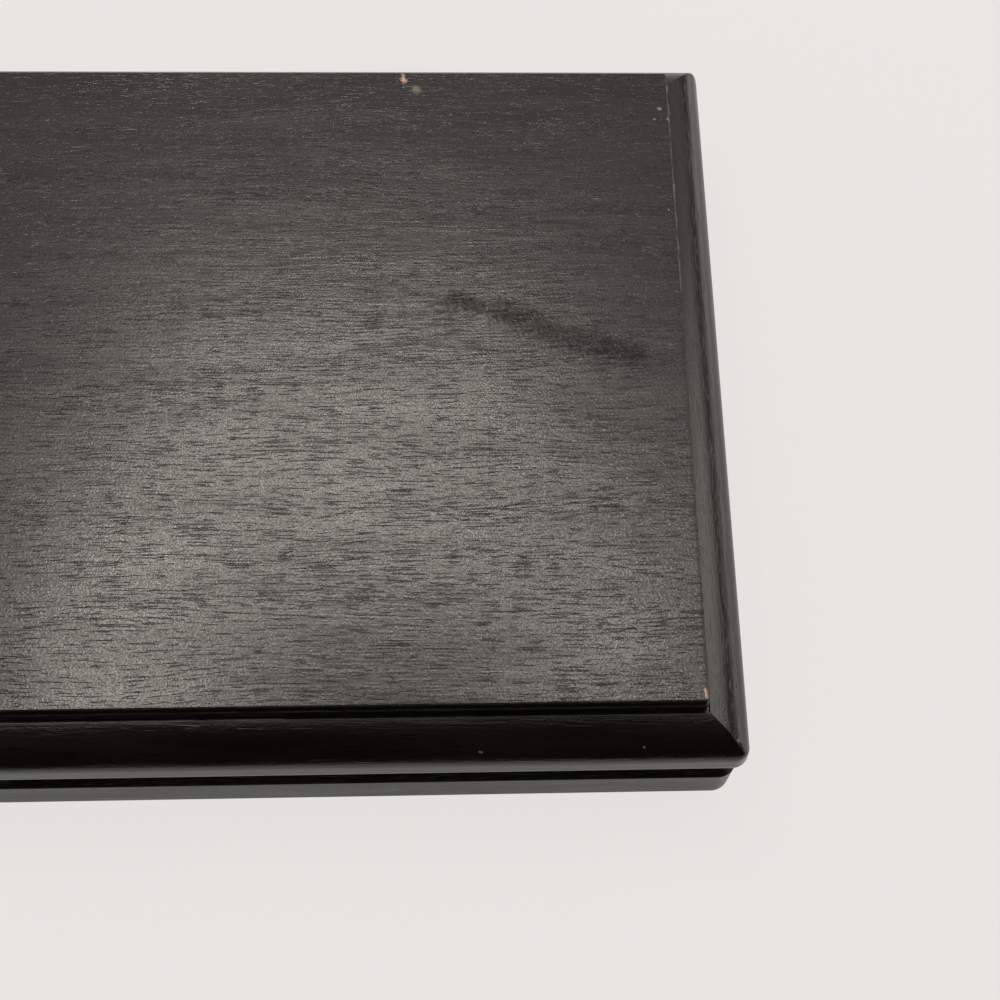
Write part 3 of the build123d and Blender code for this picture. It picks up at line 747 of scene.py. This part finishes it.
# Lid mouldings
# Four lengths round the raised panel: a quarter round falling to a rounded nose, mitred at the corners.
# The nose is sanded well round at the corners, and the shoulder beside the panel's groove is only eased.
lid_low, lid_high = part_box("lid_moulding_right")
nose_out = lid_high.x - half_length
foot, land_tall, land_lean = 3.9 * mm, 4.0 * mm, 4.0
land_low = lid_low.z + foot
land_top = land_low + land_tall
land_out = nose_out - land_tall * np.tan(np.radians(land_lean))
dome_wide, dome_tall = 14.8 * mm, 9.9 * mm
dome = arc(0.0, 0.0, 1.0, 75.0, 2.7, 30) * [dome_wide, dome_tall]
dome = dome - dome[-1] + [land_out, land_top]
seat_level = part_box("lid_panel")[0].z
eased, shoulder_lean = 0.35 * mm, 80.0
ease_x = dome[0, 0] - eased * np.cos(np.radians(shoulder_lean))
ease_z = dome[0, 1] - eased * np.sin(np.radians(shoulder_lean))
shoulder_out = ease_x - eased
lid_outline = outline([
    np.array([[shoulder_out, seat_level]]),
    arc(ease_x, ease_z, eased, 180, shoulder_lean, 5),
    dome[1:],
    arc(nose_out - foot, land_low, foot, land_lean, -90, 14),
    np.array([[leaf_start + hair, lid_low.z], [leaf_start - hair, lid_low.z]]),
    arc(wall_in + eased, lid_low.z + eased, eased, 270, 180, 4),
    np.array([[wall_in, seat_level]]),
], longest=1.0 * mm)
# The corners get rounder towards the nose, and sharper again up the dome.
round_by_reach = np.interp(lid_outline[:, 0] / mm, [6.0, 11.0, 12.5], [0.0, 2.0, 4.5])
round_by_level = np.interp(lid_outline[:, 1], [land_top, land_top + 3.5 * mm, ease_z], [4.5, 1.4, 0.2])
lid_radius = np.minimum(round_by_reach, round_by_level) * mm

# Marks, in mm, each (start, end, radius): dust in the seam beside the panel at the right, and a grey-brown
# line along the eased shoulder in that seam and in the front seam, which is partly rubbed wear and partly a
# painted highlight, and nicks.
seam_dust = [
    ((141.0, 64.9, 44.4), (140.9, 60.8, 44.4), 0.6),
    ((141.0, 89.7, 44.4), (141.0, 89.2, 44.4), 0.6),
    ((140.6, 105.0, 44.4), (141.1, 101.0, 44.4), 0.5),
    ((142.3, 14.3, 44.9), (142.3, 11.0, 44.9), 0.6),
    ((142.2, 8.6, 44.9), (142.2, 5.2, 44.9), 0.4),
    ((140.6, -1.8, 44.5), (140.7, -2.0, 44.5), 0.5),
    ((140.7, -18.9, 44.5), (140.8, -19.1, 44.5), 0.5),
    ((141.5, -30.0, 44.8), (141.5, -35.0, 44.8), 0.4),
    ((148.4, -109.9, 41.6), (148.5, -110.1, 41.4), 0.45),
]
# The seam lines are rubbed wear and also a painted highlight where the eased shoulder catches light.
seam_lines_worn_and_highlit = [
    ((141.0, 105.0, 44.3), (141.1, 26.6, 44.3), 0.42),
    ((141.3, -20.0, 44.7), (141.6, -60.0, 44.7), 0.36),
]
# The first front line is rubbed wear and also a painted highlight along the eased shoulder; the other two are
# nicks.
front_lines_worn_and_highlit = [
    ((-60.0, -103.0, 44.3), (30.0, -103.0, 44.3), 0.36),
    ((80.5, -111.5, 40.3), (81.2, -111.6, 40.2), 0.40),
    ((123.5, -111.0, 40.9), (123.7, -111.2, 40.7), 0.35),
]
lid_wood = stained_wood("maple_stained_satin_lacquer_lid", peel_height=0.05, pore_depth=0.015, gloss=0.25,
                        rubs_and_highlights=front_lines_worn_and_highlit)
dusty_highlit_wood = stained_wood("maple_stained_satin_lacquer_lid_dust_and_painted_highlight", peel_height=0.05, pore_depth=0.03,
                           gloss=0.28, rubs_and_highlights=seam_lines_worn_and_highlit, dust=seam_dust)
lid_blunt = {"front": (0.8, 1.0), "right": (1.0, 1.0), "back": (1.0, 0.8), "left": (0.8, 0.8)}
for side in outward:
    stations, sections = let_in_run(side, lid_outline, lid_low.z, upward=True, spacing=5 * mm)
    length_sheets = mitred_length(side, sections, stations, lid_radius, lid_blunt[side])
    length = add_piece(f"lid_moulding_{side}_length", length_sheets, ends=True)
    length.data.materials.append(dusty_highlit_wood if side == "right" else lid_wood)
    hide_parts(f"lid_moulding_{side}")
    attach(length, "lid")

# Lid panel
# A board with a stepped edge: the lower part stands half a millimetre proud, and its foot sits in a groove.
# Its edges are stained and lacquered with the rest, and the step catches a thin line of light.
core_low, core_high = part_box("lid_panel")
step_out = core_high.x - half_length
step_level = panel_high.z - 3.6 * mm
step_soft, core_corner = 0.12 * mm, 1.3 * mm
core_edge = np.concatenate([
    np.array([[-step_out, core_high.z]]),
    np.array([[-step_out, step_level + step_soft]]),
    arc(-step_soft, step_level - step_soft, step_soft, 90, 0, 4),
    np.array([[0.0, core_low.z]]),
])
core = add_piece("lid_panel_board", slab(core_low, core_high, core_corner, core_edge, step=6 * mm))
core.data.materials.append(lid_wood)
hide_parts("lid_panel")
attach(core, "lid")

# Lid veneer
# One leaf of open-pored veneer over the whole panel, its grain running the long way, stained black-brown.
# The lacquer is thin and sprayed, so it shows orange peel over the pores. Its marks of use are, in mm,
# raw chips, specks of dust, a smudge and a dull scuff, each (start, end, radius).
chips = [
    ((139.1, -99.0, 51.5), (139.4, -101.0, 51.4), 0.5),
    ((57.8, 99.6, 51.5), (58.4, 98.8, 51.5), 1.0),
    ((57.9, 101.2, 51.4), (58.0, 100.4, 51.5), 0.6),
]
specks = [
    ((137.2, 88.3, 51.5), (137.5, 88.2, 51.5), 0.6),
    ((135.5, 84.2, 51.5), (135.6, 84.1, 51.5), 0.35),
    ((139.7, 84.3, 51.5), (139.8, 84.0, 51.5), 0.5),
    ((138.1, 50.5, 51.5), (138.1, 50.3, 51.5), 0.35),
]
smudges = [((61.3, 96.4, 51.5), (62.4, 95.2, 51.5), 1.5)]
scuff_marks = [
    ((74.8, 19.6, 51.5), (80.8, 16.8, 51.5), 3.3),
    ((88.0, 14.8, 51.5), (102.0, 8.6, 51.5), 5.2),
    ((103.0, 7.4, 51.5), (124.9, 1.6, 51.5), 4.8),
    ((120.0, 2.6, 51.5), (125.6, 1.3, 51.5), 5.0),
]
veneer_soft, veneer_corner = 0.3 * mm, 0.8 * mm
veneer_edge = np.concatenate([
    arc(-veneer_soft, panel_high.z - veneer_soft, veneer_soft, 90, 0, 6),
    np.array([[0.0, panel_low.z]]),
])
veneer_sheets = slab(panel_low, panel_high, veneer_corner, veneer_edge, step=3 * mm)
veneer = add_piece("lid_veneer_leaf", veneer_sheets)
veneer_wood = stained_wood("walnut_veneer_open_pore_stained", peel_height=0.034, pore_depth=0.05, gloss=0.262,
                           shine=0.435, speckle=0.22, bare=chips, rubs_and_highlights=smudges, dust=specks,
                           dull=scuff_marks)
veneer.data.materials.append(veneer_wood)
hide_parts("lid_veneer")
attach(veneer, "lid")

# Lid pad
# Velvet over thin foam, filling the underside of the lid inside the mouldings, glued to the panel.
# It is soft along its edge and swells slightly towards the middle.
pad_low, pad_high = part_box("lid_pad")
pad_soft, pad_corner = 1.2 * mm, 1.4 * mm
pad_start = pad_low.z + 0.7 * mm
pad_edge = np.concatenate([
    np.array([[0.0, pad_high.z]]),
    arc(-pad_soft, pad_start + pad_soft, pad_soft, 0, -90, 6),
])
pad = add_piece("lid_pad_velvet", slab(pad_low, pad_high, pad_corner, pad_edge, step=4 * mm))
glued_above, slack = pad_high.z - 0.1 * mm, 0.004
press_out(pad, lambda point: point[:, 2] > glued_above, slack, fold_most, np.array(pad_low),
          np.array(pad_high))
subdivided(pad)
pad.data.materials.append(velvet)
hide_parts("lid_pad")
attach(pad, "lid")

# Studio floor
# A plain pale paper sweep under the box. Nearly all that the eye sees of it is an even tone, so that it
# stays as pale as the paper, and the rest takes the box's shadow.


def pale_paper():
    """Matt pale paper. Light Path's camera, glossy and transmission rays see part of it as an even tone."""
    seen_share, mirrored_share = 0.93, 0.55
    material, tree = new_material("paper_sweep_pale")
    ray = node(tree, "ShaderNodeLightPath", {})
    mirrored = node(tree, "ShaderNodeMath", {
        0: ray.outputs["Is Glossy Ray"], 1: ray.outputs["Is Transmission Ray"]}, operation="MAXIMUM")
    mirrored = node(tree, "ShaderNodeMath", {0: mirrored, 1: mirrored_share}, operation="MULTIPLY")
    share = node(tree, "ShaderNodeMath", {
        0: ray.outputs["Is Camera Ray"], 1: seen_share, 2: mirrored}, operation="MULTIPLY_ADD")
    paper = node(tree, "ShaderNodeBsdfDiffuse", {"Color": srgb("#e2e4e5"), "Roughness": 1.0})
    tone = node(tree, "ShaderNodeEmission", {"Color": srgb("#e7e5e1"), "Strength": 1.0})
    surface = node(tree, "ShaderNodeMixShader", {0: share, 1: paper, 2: tone})
    node(tree, "ShaderNodeOutputMaterial", {"Surface": surface})
    return material


def stage_mesh(name, points, faces, material):
    """A piece of the studio, which isn't part of the object."""
    mesh = bpy.data.meshes.new(name)
    mesh.from_pydata(points, [], faces)
    made = bpy.data.objects.new(name, mesh)
    bpy.context.scene.collection.objects.link(made)
    made.data.materials.append(material)
    return made


floor_reach = 4.0
floor_corners = [(x * floor_reach, y * floor_reach, 0) for x, y in ((-1, -1), (1, -1), (1, 1), (-1, 1))]
stage_mesh("studio_floor", floor_corners, [(0, 1, 2, 3)], pale_paper())

# Studio light
# Small soft boxes hang a metre up, over and behind the box, in an even pale room, and two wide dim ones at
# the right light the right mouldings. Two black flags, which only reflections show, keep the front mouldings
# and a band of the right one as dark as in the photograph.


def hang_lamp(lamp, name, place):
    """Hangs a lamp at a place, facing down."""
    held = bpy.data.objects.new(name, lamp)
    held.location = place
    bpy.context.scene.collection.objects.link(held)
    return held


def soft_box(name, size, radiance):
    """A rectangular lamp whose face has this radiance: its power is radiance x pi x width x height."""
    lamp = bpy.data.lights.new(name, "AREA")
    lamp.shape = "RECTANGLE"
    lamp.size, lamp.size_y = size
    lamp.energy = radiance * np.pi * size[0] * size[1]
    lamp.color = srgb("#fff7ea")[:3]
    return lamp


lamp_level = 1.0
for name, centre, counts, spacing, size, radiance in (
        ("back", (-0.06, 0.44), (3, 2), (0.126, 0.151), (0.04, 0.045), 94.0),
        ("left", (-0.26, 0.18), (1, 3), (0.0, 0.128), (0.06, 0.045), 79.0),
        ("right", (0.19, 0.24), (1, 2), (0.0, 0.14), (0.045, 0.04), 97.0)):
    lamp = soft_box(f"lamp_{name}", size, radiance)
    for column, row in np.ndindex(*counts):
        x = centre[0] + (column - (counts[0] - 1) / 2) * spacing[0]
        y = centre[1] + (row - (counts[1] - 1) / 2) * spacing[1]
        hang_lamp(lamp, f"lamp_{name}_{column}_{row}", (x, y, lamp_level))

for name, place, size, radiance in (
        ("side", (0.77, 0.32, 0.87), (0.45, 0.6), 2.8),
        ("low", (0.70, 0.05, 0.065), (1.1, 0.11), 2.0)):
    held = hang_lamp(soft_box(f"lamp_{name}", size, radiance), f"lamp_{name}_0", place)
    held.rotation_euler = held.location.to_track_quat("Z", "Y").to_euler()
    held.visible_camera = False

room = bpy.data.worlds.new("pale_room")
room.use_nodes = True
room.node_tree.nodes.clear()
node(room.node_tree, "ShaderNodeOutputWorld", {
    "Surface": node(room.node_tree, "ShaderNodeBackground", {"Color": srgb("#e7e5e1"), "Strength": 1.0})})
bpy.context.scene.world = room

flag_cloth, flag_tree = new_material("duvetyne_black")
flag_black = node(flag_tree, "ShaderNodeBsdfDiffuse", {"Color": srgb("#0a0a0a")})
node(flag_tree, "ShaderNodeOutputMaterial", {"Surface": flag_black})


def flag(name, points):
    """A black cloth stretched over a grid of points, which casts no shadow and shows only in reflections."""
    index = np.arange(points.shape[0] * points.shape[1]).reshape(points.shape[:2])
    faces = np.stack([index[:-1, :-1], index[:-1, 1:], index[1:, 1:], index[1:, :-1]], axis=-1)
    made = stage_mesh(name, points.reshape(-1, 3).tolist(), faces.reshape(-1, 4).tolist(), flag_cloth)
    made.visible_camera = made.visible_diffuse = made.visible_shadow = False


# The front flag curves up from the floor before the box to nearly overhead, and gets wider as it goes.
front_gap, floor_gap, first_reach, more_reach = 0.115, 0.002, 0.075, 0.765
half_wide, widening = 0.26, 0.35
rise, spread = np.meshgrid(np.radians(np.linspace(0, 83, 12)), np.linspace(-1, 1, 9), indexing="ij")
away = first_reach + more_reach * rise / rise.max()
flag("flag_front", np.stack([
    spread * (half_wide + widening * away), -front_gap - away * np.cos(rise),
    away * np.sin(rise) + floor_gap], axis=2))
flag_out, flag_low, flag_high, flag_half = 0.45, 0.11, 0.21, 0.6
tall, spread = np.meshgrid([flag_low, flag_high], np.linspace(-flag_half, flag_half, 3), indexing="ij")
flag("flag_right", np.stack([np.full(tall.shape, flag_out), spread, tall], axis=2))

# Camera
# It stands over the front right of the lid and looks steeply down on it, turned a little to the right.
# Its angles are in radians and its place is given from the panel's edges and top.
camera_pitch, camera_yaw, camera_roll = 1.14336, -0.09637, 0.07861
right = np.array([np.cos(camera_yaw), np.sin(camera_yaw), 0.0])
ahead = np.array([-np.sin(camera_yaw), np.cos(camera_yaw), 0.0])
forward = ahead * np.cos(camera_pitch) - np.array([0.0, 0.0, 1.0]) * np.sin(camera_pitch)
upward = np.cross(right, forward)
camera_x = right * np.cos(camera_roll) + upward * np.sin(camera_roll)
camera_y = -right * np.sin(camera_roll) + upward * np.cos(camera_roll)
lens = bpy.data.cameras.new("camera")
lens.lens = 54.0
lens.sensor_width = 36.0
lens.shift_x = -0.0529
lens.clip_start, lens.clip_end = 0.01, 20.0
camera = bpy.data.objects.new("camera", lens)
camera_place = np.array([half_length - 55.31 * mm, -half_depth - 111.51 * mm, panel_high.z + 372.15 * mm])
pose = np.eye(4)
pose[:3, :3] = np.stack([camera_x, camera_y, -forward], axis=1)
pose[:3, 3] = camera_place
bpy.context.scene.collection.objects.link(camera)
camera.matrix_world = pose.T.tolist()
bpy.context.scene.camera = camera
bpy.context.scene.view_settings.view_transform = "Standard"
